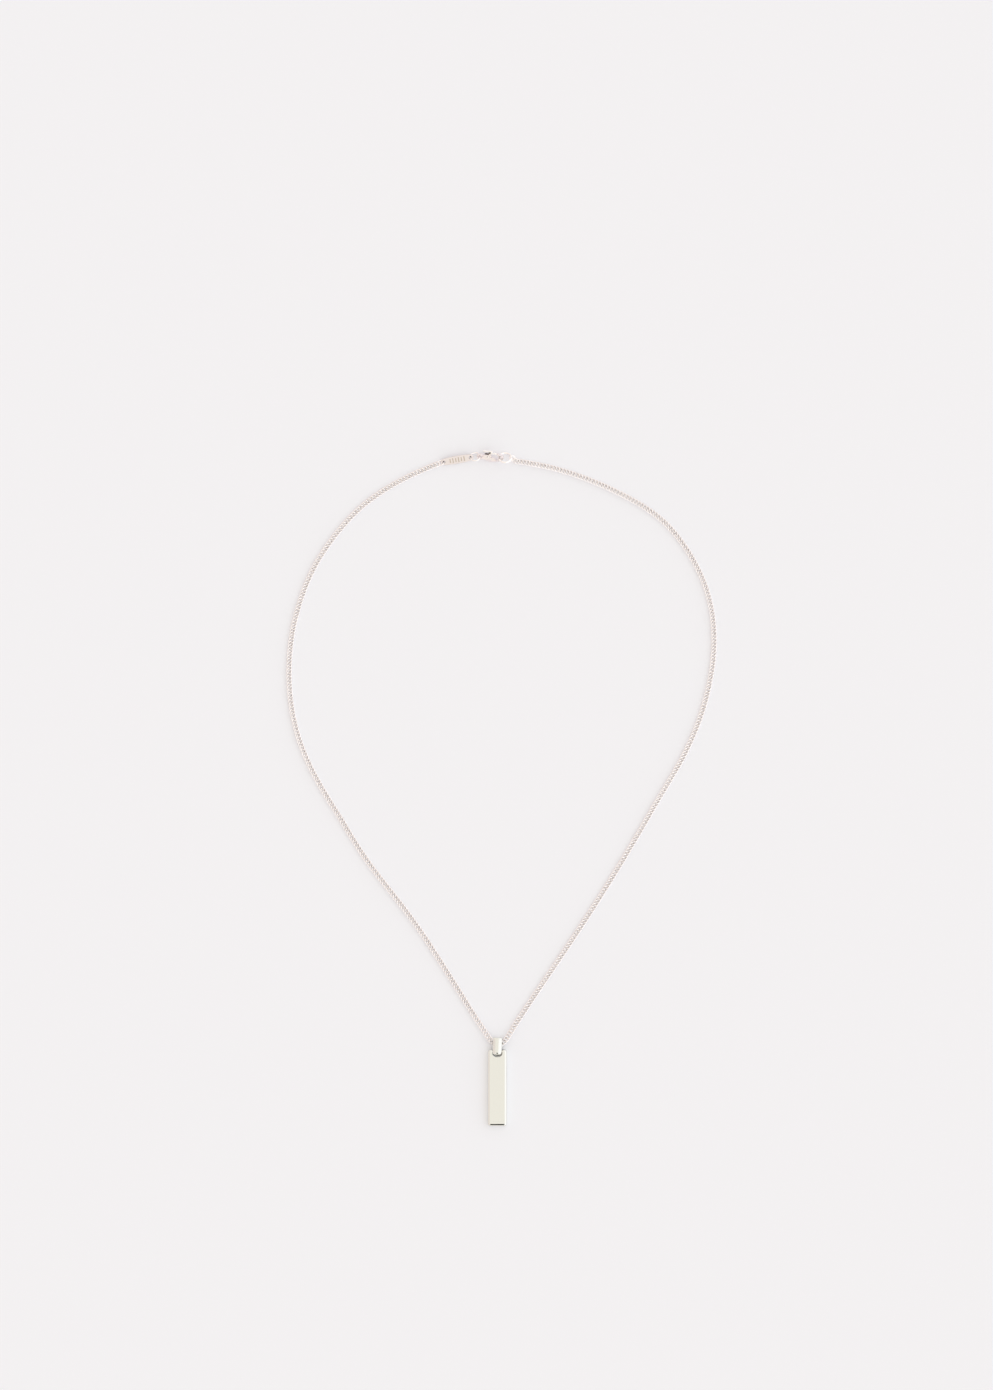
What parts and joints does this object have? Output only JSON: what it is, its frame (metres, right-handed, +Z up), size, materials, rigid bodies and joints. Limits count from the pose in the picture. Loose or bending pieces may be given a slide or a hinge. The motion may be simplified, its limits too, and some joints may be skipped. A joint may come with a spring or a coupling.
{
  "type": "dog tag pendant necklace",
  "caption": "Slim silver bar tag on a strap bail and a fine curb chain, closed by a lobster clasp, lying open in a teardrop.",
  "frame": {"origin": "middle of the laid-out necklace, on the surface it lies on", "axes": "+Z up from the surface, +Y from the bar to the clasp, +X to the right of the necklace seen from the front"},
  "size_m": [0.1404, 0.2204, 0.0034],
  "materials": {
    "polished_silver": "polished",
    "chain_silver": "polished",
    "clasp_silver": "polished"
  },
  "bodies": {
    "root": {"bar": "polished_silver", "bail": "polished_silver", "chain_left": "chain_silver", "chain_right": "chain_silver", "chain_ring_left": "chain_silver", "name_plate": "polished_silver", "link_ring": "chain_silver", "clasp_body": "clasp_silver", "clasp_rivet": "clasp_silver", "end_ring": "chain_silver", "chain_ring_right": "chain_silver"},
    "lever": {"clasp_lever": "clasp_silver"}
  },
  "joints": [
    {"name": "lever_pivot", "type": "hinge", "parent": "root", "child": "lever", "pos_m": [-0.00426, 0.10849, 0.00162], "axis": [0.0973, 0.5824, -0.807], "range_deg": [0, 20], "stiffness_Nm_per_rad": 0.01}
  ]
}
